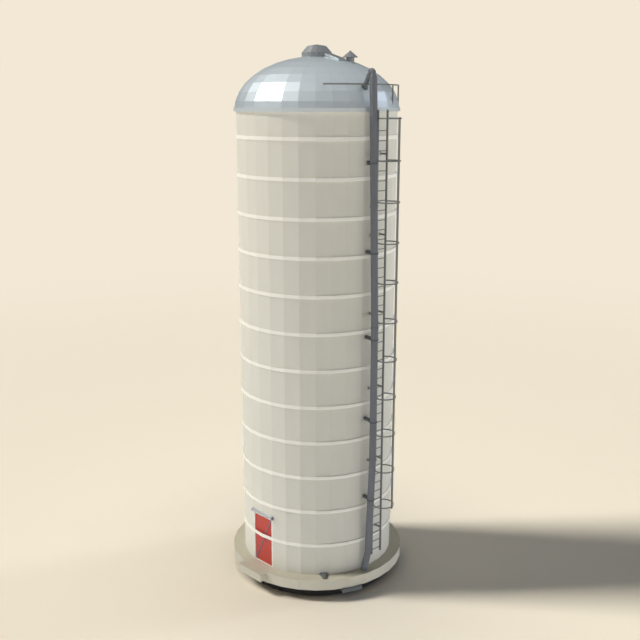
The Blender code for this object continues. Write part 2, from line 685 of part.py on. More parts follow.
def make_base_fittings():
    """Drain lip at the wall's foot and the air duct under the slab's rim."""
    back, front = DRAIN_HALF_BACK, DRAIN_HALF_FRONT
    face = WALL_RADIUS * math.cos(math.radians(FACET / 2.0)) + GAP
    nose = face + DRAIN_LENGTH
    turn = Matrix.Rotation(math.radians(DRAIN_AZIMUTH - 90.0), 3, "Z")
    corners = (face, -back), (nose, -front), (nose, front), (face, back)
    outline = [turn @ Vector((x, y, 0.0)) for x, y in corners]
    prism("drain_lip", outline, SLAB_TOP + GAP, SLAB_TOP + DRAIN_HEIGHT, GALVANISED)

    low = (FOOTING_RADIUS + GAP, -DUCT_HALF, FOOTING_HEIGHT - DUCT_HEIGHT)
    high = (SLAB_RADIUS + DUCT_OVERHANG, DUCT_HALF, FOOTING_HEIGHT - GAP)
    duct = block_mesh("air_duct", low, high)
    duct.transform(Matrix.Rotation(math.radians(DUCT_AZIMUTH - 90.0), 4, "Z"))
    place("air_duct", duct, GALVANISED)


clear_scene()
silo = new_collection("concrete_silo")
cutters = new_collection("cutters")
make_base()
make_wall()
make_hoops()
make_door()
make_roof()
roof_trim = dome_solid("roof_trim_cutter", GAP)
make_cap(roof_trim)
make_chute(roof_trim)
make_vent(roof_trim)
make_pipe(roof_trim)
make_clamps()
make_ladder()
make_cage()
make_rail(roof_trim)
make_base_fittings()
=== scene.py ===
"""Concrete farm silo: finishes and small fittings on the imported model, with its floor, light and camera.

Metres, +Z up. The door faces -Y, the ladder is on +X, and an azimuth runs from -Y towards +X.
"""

import math

import bmesh
import bpy
from mathutils import Matrix, Vector


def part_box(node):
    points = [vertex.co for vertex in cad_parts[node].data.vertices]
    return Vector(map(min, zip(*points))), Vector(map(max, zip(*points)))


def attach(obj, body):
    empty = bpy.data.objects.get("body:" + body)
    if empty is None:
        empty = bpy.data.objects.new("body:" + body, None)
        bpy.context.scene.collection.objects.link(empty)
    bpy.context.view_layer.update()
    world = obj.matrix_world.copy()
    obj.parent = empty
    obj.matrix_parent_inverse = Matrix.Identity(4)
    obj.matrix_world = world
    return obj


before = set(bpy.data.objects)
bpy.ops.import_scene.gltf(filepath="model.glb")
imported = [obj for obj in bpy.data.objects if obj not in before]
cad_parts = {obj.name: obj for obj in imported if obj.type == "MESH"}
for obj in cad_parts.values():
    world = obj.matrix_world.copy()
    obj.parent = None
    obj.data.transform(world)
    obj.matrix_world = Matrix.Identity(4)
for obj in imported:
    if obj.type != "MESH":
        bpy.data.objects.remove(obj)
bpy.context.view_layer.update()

# Footing
# A round pad of concrete at the ground line, brushed with black bitumen against damp.
# Its near-black colour is partly painted shade, standing in for the deep shadow under the slab.
# It stands back under the slab's rim, so it is seen only as a dark band.

# A mix's colour sockets share their names with its other sockets, so they are given by number.
MIX_A, MIX_B, MIX_RESULT = 6, 7, 2


def linear(code):
    """The linear colour of an sRGB hex code, as shaders take it."""
    levels = [int(code[i:i + 2], 16) / 255.0 for i in (1, 3, 5)]
    return (*[v / 12.92 if v <= 0.04045 else ((v + 0.055) / 1.055) ** 2.4 for v in levels], 1.0)


def cells(millimetres):
    """The texture scale at which one feature is this many millimetres across."""
    return 1000.0 / millimetres


def add_node(tree, kind, inputs, **settings):
    """Add a node with its settings; each input takes a value, or a link from another node's output."""
    node = tree.nodes.new(kind)
    for name, value in settings.items():
        setattr(node, name, value)
    for name, value in inputs.items():
        if isinstance(value, bpy.types.NodeSocket):
            tree.links.new(value, node.inputs[name])
        else:
            node.inputs[name].default_value = value
    return node


def start_finish(name):
    """A new material with an empty tree, and its object coordinates."""
    finish = bpy.data.materials.new(name)
    finish.use_nodes = True
    tree = finish.node_tree
    tree.nodes.clear()
    return finish, tree, add_node(tree, "ShaderNodeTexCoord", {}).outputs["Object"]


def close_finish(tree, inputs):
    """End a material's tree in one shader with these inputs."""
    shader = add_node(tree, "ShaderNodeBsdfPrincipled", inputs)
    add_node(tree, "ShaderNodeOutputMaterial", {"Surface": shader.outputs["BSDF"]})


def cover(finish, names):
    """Give CAD nodes this finish."""
    for name in names:
        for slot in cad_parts[name].material_slots:
            slot.material = finish


def bitumen_and_painted_shade():
    """Nearly black and matt, partly as painted shade, with brush laps that catch a little light."""
    finish, tree, spot = start_finish("bitumen_and_painted_shade")
    laps = add_node(tree, "ShaderNodeTexNoise", {"Vector": spot, "Scale": cells(70), "Detail": 6.0})
    tone = add_node(tree, "ShaderNodeMix", {
        0: laps.outputs["Fac"], MIX_A: linear("#1b1b1a"), MIX_B: linear("#2c2b29")}, data_type="RGBA")
    relief = add_node(tree, "ShaderNodeBump", {
        "Height": laps.outputs["Fac"], "Distance": 0.003, "Strength": 0.6})
    close_finish(tree, {
        "Base Color": tone.outputs[MIX_RESULT], "Roughness": 0.8, "Normal": relief.outputs["Normal"]})
    return finish


cover(bitumen_and_painted_shade(), ["footing"])

# Base slab and landing
# Concrete cast in a round shutter, with its top floated by hand and its rim left as struck.
# The landing at the door is cast against it in the same mix.

# Upright faces that look this way, to the front left, are darkened by painted shade.
PAINTED_SHADE_SIDE = (-0.707, -0.707, 0.0)
PAINTED_SHADE_START, PAINTED_SHADE_END = 0.2, 0.9
PAINTED_SHADE_TONE = 0.78
SAND_DARK, SAND_LIGHT = (0.9, 0.9, 0.9, 1.0), (1.06, 1.06, 1.06, 1.0)


def floated_concrete():
    """Warm grey with broad damp patches, sand speckle, a shallow trowel relief and painted shade on faces to
    the front left.
    """
    finish, tree, spot = start_finish("floated_concrete")
    patches = add_node(tree, "ShaderNodeTexNoise", {"Vector": spot, "Scale": cells(450), "Detail": 5.0})
    sand = add_node(tree, "ShaderNodeTexNoise", {"Vector": spot, "Scale": cells(9), "Detail": 3.0})
    broad = add_node(tree, "ShaderNodeMix", {
        0: patches.outputs["Fac"], MIX_A: linear("#d1cab6"), MIX_B: linear("#e0dac4")}, data_type="RGBA")
    speckle = add_node(tree, "ShaderNodeMix", {
        0: sand.outputs["Fac"], MIX_A: SAND_DARK, MIX_B: SAND_LIGHT}, data_type="RGBA")
    mixed = add_node(tree, "ShaderNodeMix", {
        0: 1.0, MIX_A: broad.outputs[MIX_RESULT], MIX_B: speckle.outputs[MIX_RESULT]},
        data_type="RGBA", blend_type="MULTIPLY")
    # Upright faces turned to the front left are darkened here by painted shade.
    surface = add_node(tree, "ShaderNodeNewGeometry", {})
    weather = add_node(tree, "ShaderNodeVectorMath", {
        0: surface.outputs["Normal"], 1: PAINTED_SHADE_SIDE}, operation="DOT_PRODUCT")
    painted_shade = add_node(tree, "ShaderNodeMapRange", {
        "Value": weather.outputs["Value"], "From Min": PAINTED_SHADE_START, "From Max": PAINTED_SHADE_END,
        "To Min": 1.0, "To Max": PAINTED_SHADE_TONE})
    with_painted_shade = add_node(tree, "ShaderNodeVectorMath", {
        0: mixed.outputs[MIX_RESULT], "Scale": painted_shade.outputs["Result"]}, operation="SCALE")
    relief = add_node(tree, "ShaderNodeBump", {
        "Height": sand.outputs["Fac"], "Distance": 0.001, "Strength": 0.5})
    close_finish(tree, {
        "Base Color": with_painted_shade.outputs["Vector"], "Roughness": 0.9, "Normal": relief.outputs["Normal"]})
    return finish


cover(floated_concrete(), ["base_slab", "door_step"])

# Wall
# Concrete cast against flat shutters in 32 facets, then washed cream with a mineral paint.
# The wash hides the pour lines but not the small blow holes of the cast face.
WALL_NODES = [f"wall_segment_{number}" for number in range(1, 8)]
WALL_NODES += ["wall_door_left", "wall_door_right", "wall_over_door"]


def cream_wash():
    """Matt cream with faint upright rain shading, and blow holes a few millimetres across."""
    finish, tree, spot = start_finish("cream_washed_concrete")
    stretched = add_node(tree, "ShaderNodeMapping", {"Vector": spot, "Scale": (1.0, 1.0, 0.12)})
    rain = add_node(tree, "ShaderNodeTexNoise", {
        "Vector": stretched.outputs["Vector"], "Scale": cells(260), "Detail": 4.0})
    holes = add_node(tree, "ShaderNodeTexVoronoi", {"Vector": spot, "Scale": cells(28)})
    pits = add_node(tree, "ShaderNodeMapRange", {
        "Value": holes.outputs["Distance"], "From Min": 0.05, "From Max": 0.16})
    wash = add_node(tree, "ShaderNodeMix", {
        0: rain.outputs["Fac"], MIX_A: linear("#dfdbcb"), MIX_B: linear("#e5e1d1")}, data_type="RGBA")
    relief = add_node(tree, "ShaderNodeBump", {
        "Height": pits.outputs["Result"], "Distance": 0.0015, "Strength": 0.35})
    close_finish(tree, {
        "Base Color": wash.outputs[MIX_RESULT], "Roughness": 0.5, "Normal": relief.outputs["Normal"]})
    return finish


WALL_FINISH = cream_wash()
cover(WALL_FINISH, WALL_NODES)

# Hoops
# Twelve bands of rolled flat steel drawn round the wall and painted cream.
# Each is closed at the back by a bolted lap plate, set on one side or the other by turns.
HOOP_NODES = [f"hoop_{number:02d}" for number in range(1, 13)]


def cream_band_paint():
    """Cream gloss gone dull, with the orange peel of a roller."""
    finish, tree, spot = start_finish("cream_band_paint")
    peel = add_node(tree, "ShaderNodeTexNoise", {"Vector": spot, "Scale": cells(12), "Detail": 2.0})
    fade = add_node(tree, "ShaderNodeTexNoise", {"Vector": spot, "Scale": cells(500), "Detail": 3.0})
    tone = add_node(tree, "ShaderNodeMix", {
        0: fade.outputs["Fac"], MIX_A: linear("#fbf7e8"), MIX_B: linear("#fffbee")}, data_type="RGBA")
    relief = add_node(tree, "ShaderNodeBump", {
        "Height": peel.outputs["Fac"], "Distance": 0.0006, "Strength": 0.4})
    close_finish(tree, {
        "Base Color": tone.outputs[MIX_RESULT], "Roughness": 0.6, "Normal": relief.outputs["Normal"]})
    return finish


HOOP_FINISH = cream_band_paint()
cover(HOOP_FINISH, HOOP_NODES)


def hot_dip_zinc(name, dull, bright, roughness):
    """Grey metal broken into dull and bright crystals some 15 mm across."""
    finish, tree, spot = start_finish(name)
    crystals = add_node(tree, "ShaderNodeTexVoronoi", {"Vector": spot, "Scale": cells(15)})
    tone = add_node(tree, "ShaderNodeMix", {
        0: crystals.outputs["Color"], MIX_A: linear(dull), MIX_B: linear(bright)}, data_type="RGBA")
    close_finish(tree, {"Base Color": tone.outputs[MIX_RESULT], "Roughness": roughness, "Metallic": 0.8})
    return finish


def facing_out(azimuth):
    """The unit vector that points out from the silo's axis at this azimuth in degrees."""
    angle = math.radians(azimuth)
    return Vector((math.sin(angle), -math.cos(angle), 0.0))


def face_reach(radius, sides):
    """How far the flat sides of a piece lie from its axis, where its corners lie at this radius."""
    return radius * math.cos(math.pi / sides)


def on_face(azimuth, reach, aside, height):
    """A frame on an upright face: X along the face, Y up and Z out, at a distance from the silo's axis."""
    out = facing_out(azimuth)
    along = Vector((-out.y, out.x, 0.0))
    spot = reach * out + aside * along + Vector((0.0, 0.0, height))
    turn = Matrix((along, (0.0, 0.0, 1.0), out)).transposed().to_4x4()
    return Matrix.Translation(spot) @ turn


def add_plate(shape, stand, size, edge):
    """A flat plate with eased edges, whose back lies on the frame's X and Y plane."""
    made = bmesh.ops.create_cube(shape, size=1.0)["verts"]
    lift = Matrix.Translation((0.0, 0.0, size[2] / 2.0))
    bmesh.ops.transform(shape, matrix=stand @ lift @ Matrix.Diagonal((*size, 1.0)), verts=made)
    rims = {rim for vert in made for rim in vert.link_edges}
    bmesh.ops.bevel(shape, geom=list(rims), offset=edge, segments=2, affect="EDGES", profile=0.5)


def settle(name, shape, finish, body):
    """Turn a built shape into a piece of the silo with its finish, body and slot."""
    bmesh.ops.recalc_face_normals(shape, faces=shape.faces)
    mesh = bpy.data.meshes.new(name)
    shape.to_mesh(mesh)
    shape.free()
    mesh.materials.append(finish)
    piece = bpy.data.objects.new(name, mesh)
    bpy.context.scene.collection.objects.link(piece)
    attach(piece, body)


# The head's crown is a fifth of its height, and narrows to this share of its width.
CROWN_HEIGHT, CROWN_WIDTH = 0.2, 0.84
# A random value's sockets share their names too: its highest value, its seed and its result.
CHANCE_TOP, CHANCE_SEED, CHANCE_RESULT = 3, 8, 1
SEED = 7


def bolt_head(tree, given):
    """A six-sided head with a chamfered crown, lifted by the washer's thickness."""
    corner = add_node(tree, "ShaderNodeMath", {
        0: given["Across Flats"], 1: math.sqrt(3.0)}, operation="DIVIDE")
    bar = add_node(tree, "GeometryNodeMeshCylinder", {
        "Vertices": 6, "Radius": corner.outputs[0], "Depth": given["Head Height"]})
    ease = add_node(tree, "ShaderNodeMath", {
        0: given["Head Height"], 1: CROWN_HEIGHT}, operation="MULTIPLY")
    crown = add_node(tree, "GeometryNodeExtrudeMesh", {
        "Mesh": bar.outputs["Mesh"], "Selection": bar.outputs["Top"], "Offset Scale": ease.outputs[0]})
    chamfer = add_node(tree, "GeometryNodeScaleElements", {
        "Geometry": crown.outputs["Mesh"], "Selection": crown.outputs["Top"], "Scale": CROWN_WIDTH})
    half = add_node(tree, "ShaderNodeMath", {0: given["Head Height"], 1: 0.5}, operation="MULTIPLY")
    lift = add_node(tree, "ShaderNodeMath", {
        0: half.outputs[0], 1: given["Washer Thickness"]}, operation="ADD")
    seat = add_node(tree, "ShaderNodeCombineXYZ", {"Z": lift.outputs[0]})
    raised = add_node(tree, "GeometryNodeTransform", {
        "Geometry": chamfer.outputs["Geometry"], "Translation": seat.outputs["Vector"]})
    return raised.outputs["Geometry"]


def bolt_washer(tree, given):
    """A round washer, whose back lies on the seat."""
    half = add_node(tree, "ShaderNodeMath", {0: given["Washer Width"], 1: 0.5}, operation="MULTIPLY")
    washer = add_node(tree, "GeometryNodeMeshCylinder", {
        "Vertices": 12, "Radius": half.outputs[0], "Depth": given["Washer Thickness"]})
    lift = add_node(tree, "ShaderNodeMath", {
        0: given["Washer Thickness"], 1: 0.5}, operation="MULTIPLY")
    seat = add_node(tree, "ShaderNodeCombineXYZ", {"Z": lift.outputs[0]})
    laid = add_node(tree, "GeometryNodeTransform", {
        "Geometry": washer.outputs["Mesh"], "Translation": seat.outputs["Vector"]})
    return laid.outputs["Geometry"]


def bolt_turns(tree):
    """Each bolt faces out from its seat, and is spun about itself by chance."""
    facing = add_node(tree, "GeometryNodeInputNamedAttribute", {
        "Name": "facing"}, data_type="FLOAT_VECTOR")
    upright = add_node(tree, "FunctionNodeAlignRotationToVector", {
        "Vector": facing.outputs["Attribute"]}, axis="Z")
    chance = add_node(tree, "FunctionNodeRandomValue", {
        CHANCE_TOP: math.radians(60.0), CHANCE_SEED: SEED}, data_type="FLOAT")
    twist = add_node(tree, "FunctionNodeAxisAngleToRotation", {
        "Axis": (0.0, 0.0, 1.0), "Angle": chance.outputs[CHANCE_RESULT]})
    turned = add_node(tree, "FunctionNodeRotateRotation", {
        "Rotation": upright.outputs["Rotation"], "Rotate By": twist.outputs["Rotation"]},
        rotation_space="LOCAL")
    return turned.outputs["Rotation"]


def bolt_tree():
    """Hexagon bolts: a chamfered head on a washer at each point, facing out."""
    tree = bpy.data.node_groups.new("hexagon_bolts", "GeometryNodeTree")
    tree.interface.new_socket("Spots", in_out="INPUT", socket_type="NodeSocketGeometry")
    for label in ("Across Flats", "Head Height", "Washer Width", "Washer Thickness"):
        tree.interface.new_socket(label, in_out="INPUT", socket_type="NodeSocketFloat")
    tree.interface.new_socket("Finish", in_out="INPUT", socket_type="NodeSocketMaterial")
    tree.interface.new_socket("Bolts", in_out="OUTPUT", socket_type="NodeSocketGeometry")
    given = add_node(tree, "NodeGroupInput", {}).outputs
    bolt = add_node(tree, "GeometryNodeJoinGeometry", {})
    tree.links.new(bolt_head(tree, given), bolt.inputs["Geometry"])
    tree.links.new(bolt_washer(tree, given), bolt.inputs["Geometry"])
    spread = add_node(tree, "GeometryNodeInstanceOnPoints", {
        "Points": given["Spots"], "Instance": bolt.outputs["Geometry"], "Rotation": bolt_turns(tree)})
    solid = add_node(tree, "GeometryNodeRealizeInstances", {"Geometry": spread.outputs["Instances"]})
    finished = add_node(tree, "GeometryNodeSetMaterial", {
        "Geometry": solid.outputs["Geometry"], "Material": given["Finish"]})
    add_node(tree, "NodeGroupOutput", {"Bolts": finished.outputs["Geometry"]})
    return tree


BOLT_TREE = bolt_tree()
M16 = {"Across Flats": 0.024, "Head Height": 0.01, "Washer Width": 0.03, "Washer Thickness": 0.003}
M12 = {"Across Flats": 0.019, "Head Height": 0.0075, "Washer Width": 0.024, "Washer Thickness": 0.0025}
M8 = {"Across Flats": 0.013, "Head Height": 0.0055, "Washer Width": 0.017, "Washer Thickness": 0.0016}


def fasten(name, stands, sizes, finish, body):
    """Bolts whose seats lie on these frames, made into one plain mesh that rides on a body."""
    points = bpy.data.meshes.new(name)
    points.from_pydata([stand.translation for stand in stands], [], [])
    facing = points.attributes.new("facing", "FLOAT_VECTOR", "POINT")
    for mark, stand in zip(facing.data, stands):
        mark.vector = stand.to_3x3() @ Vector((0.0, 0.0, 1.0))
    piece = bpy.data.objects.new(name, points)
    bpy.context.scene.collection.objects.link(piece)
    step = piece.modifiers.new("Bolts", "NODES")
    step.node_group = BOLT_TREE
    values = {**sizes, "Finish": finish}
    for socket in BOLT_TREE.interface.items_tree:
        if socket.name in values:
            step[socket.identifier] = values[socket.name]
    graph = bpy.context.evaluated_depsgraph_get()
    solid = bpy.data.meshes.new_from_object(piece.evaluated_get(graph))
    piece.modifiers.remove(step)
    solid.name = name
    piece.data = solid
    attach(piece, body)


def middle_height(name):
    """The height of a CAD node's middle."""
    low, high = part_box(name)
    return (low[2] + high[2]) / 2.0


ZINC_FINISH = hot_dip_zinc("hot_dip_zinc", "#7d8286", "#92979a", 0.4)
FACETS = 32
HALF_FACET = 180.0 / FACETS
HOOP_FACE = face_reach(2.63, FACETS)
BACK_AZIMUTH = 180.0
PLATE_EDGE = 0.002
LAP_SIZE = (0.34, 0.094, 0.008)
LAP_BOLTS = (-0.13, -0.06, 0.06, 0.13)
shape = bmesh.new()
stands = []
for number, name in enumerate(HOOP_NODES):
    height = middle_height(name)
    azimuth = BACK_AZIMUTH + HALF_FACET * (1 if number % 2 else -1)
    add_plate(shape, on_face(azimuth, HOOP_FACE, 0.0, height), LAP_SIZE, PLATE_EDGE)
    stands += [on_face(azimuth, HOOP_FACE + LAP_SIZE[2], aside, height) for aside in LAP_BOLTS]
settle("hoop_lap_plates", shape, HOOP_FINISH, "silo")
fasten("hoop_lap_bolts", stands, M16, ZINC_FINISH, "silo")

# Roof sheets
# The dome is pressed sheet in ten-degree rings, bolted to a ring on the wall's head.
# It is coil coated in pale blue grey, with a satin gloss over a metal base.


def roof_coating():
    """Blue grey satin over metal, so one group of sheets flashes white in the light."""
    finish, tree, spot = start_finish("coil_coated_roof_sheet")
    stretched = add_node(tree, "ShaderNodeMapping", {"Vector": spot, "Scale": (1.0, 1.0, 0.3)})
    weather = add_node(tree, "ShaderNodeTexNoise", {
        "Vector": stretched.outputs["Vector"], "Scale": cells(220), "Detail": 3.0})
    tone = add_node(tree, "ShaderNodeMix", {
        0: weather.outputs["Fac"], MIX_A: linear("#e8f2f6"), MIX_B: linear("#edf7fb")}, data_type="RGBA")
    gloss = add_node(tree, "ShaderNodeMapRange", {
        "Value": weather.outputs["Fac"], "To Min": 0.385, "To Max": 0.41})
    close_finish(tree, {
        "Base Color": tone.outputs[MIX_RESULT], "Roughness": gloss.outputs["Result"], "Metallic": 0.65})
    return finish


ROOF_FINISH = roof_coating()
cover(ROOF_FINISH, ["roof_ring", "roof_dome"])

# Roof bolts
# The ring is bolted through to the wall's head, three bolts to a facet.
# The dome's sheets are screwed together up every joint, with sealing washers.
RING_FACE = face_reach(2.68, FACETS)
RING_BOLT_HEIGHT = 15.86
RING_BOLTS = (-0.17, 0.0, 0.17)
stands = []
for number in range(FACETS):
    azimuth = HALF_FACET * (2 * number + 1)
    stands += [on_face(azimuth, RING_FACE, aside, RING_BOLT_HEIGHT) for aside in RING_BOLTS]
fasten("roof_ring_bolts", stands, M12, ROOF_FINISH, "silo")

DOME_BASE, DOME_RISE, DOME_REACH = 15.82, 1.68, 2.66
DOME_STEP = 10.0
DOME_SCREWS = 13
SCREW_FIRST, SCREW_PITCH = 6.5, 5.0


def sheet_ends(climb):
    """The reach and height of the foot and head of the dome sheet at this climb in degrees."""
    low = DOME_STEP * math.floor(climb / DOME_STEP)
    ends = [math.radians(low), math.radians(low + DOME_STEP)]
    return [(DOME_REACH * math.cos(end), DOME_BASE + DOME_RISE * math.sin(end)) for end in ends]


def on_dome(azimuth, climb):
    """A frame on the dome, laid back with its sheet, where climb runs in degrees from foot to crown."""
    foot, head = sheet_ends(climb)
    share = climb / DOME_STEP % 1.0
    reach = foot[0] + share * (head[0] - foot[0])
    height = foot[1] + share * (head[1] - foot[1])
    lean = math.atan2(foot[0] - head[0], head[1] - foot[1])
    return on_face(azimuth, reach, 0.0, height) @ Matrix.Rotation(-lean, 4, "X")


stands = []
for number in range(FACETS):
    for step in range(DOME_SCREWS):
        stands.append(on_dome(2.0 * HALF_FACET * number, SCREW_FIRST + SCREW_PITCH * step))
fasten("dome_screws", stands, M8, ROOF_FINISH, "silo")

# Painted steel
# The pipe's clamps and flange are painted dark grey. The ladder, its cage and the grab rail are grey
# and weathered, and the cap, the vent and the chute are pale grey. All are sprayed in the shop.


def machine_paint(name, worn, fresh, metallic):
    """Neutral grey with a soft sheen and fine spray texture, a little darker where it has worn."""
    finish, tree, spot = start_finish(name)
    spray = add_node(tree, "ShaderNodeTexNoise", {"Vector": spot, "Scale": cells(6), "Detail": 2.0})
    wear = add_node(tree, "ShaderNodeTexNoise", {"Vector": spot, "Scale": cells(120), "Detail": 4.0})
    tone = add_node(tree, "ShaderNodeMix", {
        0: wear.outputs["Fac"], MIX_A: linear(worn), MIX_B: linear(fresh)}, data_type="RGBA")
    relief = add_node(tree, "ShaderNodeBump", {
        "Height": spray.outputs["Fac"], "Distance": 0.0004, "Strength": 0.4})
    close_finish(tree, {
        "Base Color": tone.outputs[MIX_RESULT], "Roughness": 0.45, "Metallic": metallic,
        "Normal": relief.outputs["Normal"]})
    return finish


CAGE_NODES = [f"cage_ring_{number:02d}" for number in range(1, 12)]
CLAMP_NODES = [f"pipe_clamp_{number}" for number in range(1, 6)]
DARK_FINISH = machine_paint("dark_machine_paint", "#5c6063", "#686c70", 0.3)
LADDER_FINISH = machine_paint("weathered_ladder_paint", "#7a7c78", "#868883", 0.1)
CAP_FINISH = machine_paint("cap_paint", "#9a9ea0", "#a6aaac", 0.2)
cover(DARK_FINISH, CLAMP_NODES + ["roof_flange"])
cover(CAP_FINISH, ["roof_cap", "roof_vent", "roof_chute"])
cover(LADDER_FINISH, CAGE_NODES + ["ladder", "cage_strap", "grab_rail"])

# Cap bolts
# The steel cap stands on the dome's crown.
# Its skirt is bolted down once on each of its sixteen sides, just above the dome.
CAP_SIDES = 16
CAP_FACE = face_reach(0.48, CAP_SIDES)
CAP_BOLT_HEIGHT = 17.56
stands = []
for number in range(CAP_SIDES):
    stands.append(on_face(360.0 / CAP_SIDES * (number + 0.5), CAP_FACE, 0.0, CAP_BOLT_HEIGHT))
fasten("cap_bolts", stands, M12, DARK_FINISH, "silo")

# Chute lid
# A folded sheet lid lies along the top of the chute, screwed down at its four corners.
# Its bare lips turn down over the chute's two sides and catch the light.
CHUTE_X, CHUTE_Z = (0.4, 1.12), (17.522, 17.304)
CHUTE_HALF_WIDTH, CHUTE_HALF_DEPTH = 0.146, 0.08
LID_SIZE = (0.62, 0.3, 0.008)
LID_MIDDLE = 0.435
LIP_SIZE = (0.62, 0.05, 0.005)
LIP_DROP = 0.027
LIP_EDGE = 0.0015
LID_SCREW_X, LID_SCREW_Y = 0.27, 0.12
slope = Matrix.Rotation(math.atan2(CHUTE_Z[0] - CHUTE_Z[1], CHUTE_X[1] - CHUTE_X[0]), 4, "Y")
chute = Matrix.Translation((CHUTE_X[0], 0.0, CHUTE_Z[0])) @ slope
lid = chute @ Matrix.Translation((LID_MIDDLE, 0.0, CHUTE_HALF_DEPTH))
shape = bmesh.new()
add_plate(shape, lid, LID_SIZE, PLATE_EDGE)
settle("chute_lid", shape, CAP_FINISH, "silo")
shape = bmesh.new()
for side in (-1.0, 1.0):
    fold = Matrix.Translation((0.0, side * CHUTE_HALF_WIDTH, -LIP_DROP))
    add_plate(shape, lid @ fold @ Matrix.Rotation(-side * math.pi / 2.0, 4, "X"), LIP_SIZE, LIP_EDGE)
settle("chute_lid_lips", shape, ROOF_FINISH, "silo")
stands = []
for x in (-LID_SCREW_X, LID_SCREW_X):
    for y in (-LID_SCREW_Y, LID_SCREW_Y):
        stands.append(lid @ Matrix.Translation((x, y, LID_SIZE[2])))
fasten("chute_lid_screws", stands, M8, CAP_FINISH, "silo")

# Ladder fixings
# Each stand-off ends in a plate on the wall, washed over with the wall, with an anchor bolt above and
# below it. Every cage ring is bolted to the stiles and to the upright strap.
WALL_RADIUS = 2.6
WALL_FACE = face_reach(WALL_RADIUS, FACETS)
LADDER_AZIMUTH = 90.0
STANDOFF_FIRST, STANDOFF_SPACING, STANDOFFS = 2.15, 2.48, 6
STANDOFF_ASIDE = 0.0413
STANDOFF_PLATE = (0.1, 0.14, 0.008)
STANDOFF_BOLT = 0.05
shape = bmesh.new()
stands = []
for number in range(STANDOFFS):
    height = STANDOFF_FIRST + STANDOFF_SPACING * number
    for side in (-1.0, 1.0):
        azimuth = LADDER_AZIMUTH + side * HALF_FACET
        aside = -side * STANDOFF_ASIDE
        add_plate(shape, on_face(azimuth, WALL_FACE, aside, height), STANDOFF_PLATE, PLATE_EDGE)
        for step in (-STANDOFF_BOLT, STANDOFF_BOLT):
            stands.append(on_face(azimuth, WALL_FACE + STANDOFF_PLATE[2], aside, height + step))
settle("ladder_wall_plates", shape, WALL_FINISH, "silo")
fasten("ladder_anchors", stands, M12, ZINC_FINISH, "silo")

STRAP_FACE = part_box("cage_strap")[1][0]
STILE_FACE = 0.23
LADDER_REACH = 2.85
STILE_BOLT_LIFT = 0.04
stands = []
for name in CAGE_NODES:
    height = middle_height(name)
    stands.append(on_face(LADDER_AZIMUTH, STRAP_FACE, 0.0, height))
    for azimuth, aside in ((0.0, LADDER_REACH), (180.0, -LADDER_REACH)):
        stands.append(on_face(azimuth, STILE_FACE, aside, height + STILE_BOLT_LIFT))
fasten("cage_bolts", stands, M12, ZINC_FINISH, "silo")

# Fill pipe
# Steel tube in lengths that are joined by collars, with a bend into the roof.
# It is sprayed slate grey. Each collar is two thin flanges with a sealing band between them.


def slate_paint():
    """Slate grey with a faint violet cast and a soft sheen."""
    finish, tree, spot = start_finish("slate_pipe_paint")
    cloud = add_node(tree, "ShaderNodeTexNoise", {"Vector": spot, "Scale": cells(300), "Detail": 4.0})
    tone = add_node(tree, "ShaderNodeMix", {
        0: cloud.outputs["Fac"], MIX_A: linear("#74777c"), MIX_B: linear("#7c7f84")}, data_type="RGBA")
    close_finish(tree, {"Base Color": tone.outputs[MIX_RESULT], "Roughness": 0.5, "Metallic": 0.2})
    return finish


PIPE_FINISH = slate_paint()
cover(PIPE_FINISH, ["fill_pipe", "gooseneck"])

# The pipe's axis bends a little at its collars: each point is its reach from the silo's axis and its height.
PIPE_AZIMUTH = 82.6
PIPE_AXIS = ((2.851, 1.45), (3.018, 4.8), (3.023, 9.2), (2.796, 16.825))
RING_SIDES = 24


def pipe_frame(height):
    """A frame on the pipe's axis, with Z along the pipe and Y out from the wall."""
    for low, high in zip(PIPE_AXIS, PIPE_AXIS[1:]):
        if height <= high[1]:
            break
    share = (height - low[1]) / (high[1] - low[1])
    out = facing_out(PIPE_AZIMUTH)
    along = ((high[0] - low[0]) * out + Vector((0.0, 0.0, high[1] - low[1]))).normalized()
    side = out.cross(along).normalized()
    turn = Matrix((side, along.cross(side), along)).transposed().to_4x4()
    reach = low[0] + share * (high[0] - low[0])
    return Matrix.Translation(reach * out + Vector((0.0, 0.0, height))) @ turn


def add_ring(shape, stand, profile):
    """A ring turned about the frame's Z from a closed profile of (radius, height) points."""
    rows = []
    for step in range(RING_SIDES):
        angle = 2.0 * math.pi * step / RING_SIDES
        corners = [Vector((r * math.cos(angle), r * math.sin(angle), z)) for r, z in profile]
        rows.append([shape.verts.new(stand @ corner) for corner in corners])
    for row, after in zip(rows, rows[1:] + rows[:1]):
        for i in range(len(profile)):
            k = (i + 1) % len(profile)
            shape.faces.new((row[i], after[i], after[k], row[k]))


COLLAR = ((0.113, -0.03), (0.128, -0.03), (0.13, -0.028), (0.13, -0.012), (0.122, -0.009),
          (0.122, 0.009), (0.13, 0.012), (0.13, 0.028), (0.128, 0.03), (0.113, 0.03))
COLLAR_HEIGHTS = (4.8, 9.2, 13.0)
shape = bmesh.new()
for height in COLLAR_HEIGHTS:
    add_ring(shape, pipe_frame(height), COLLAR)
settle("pipe_collars", shape, PIPE_FINISH, "silo")

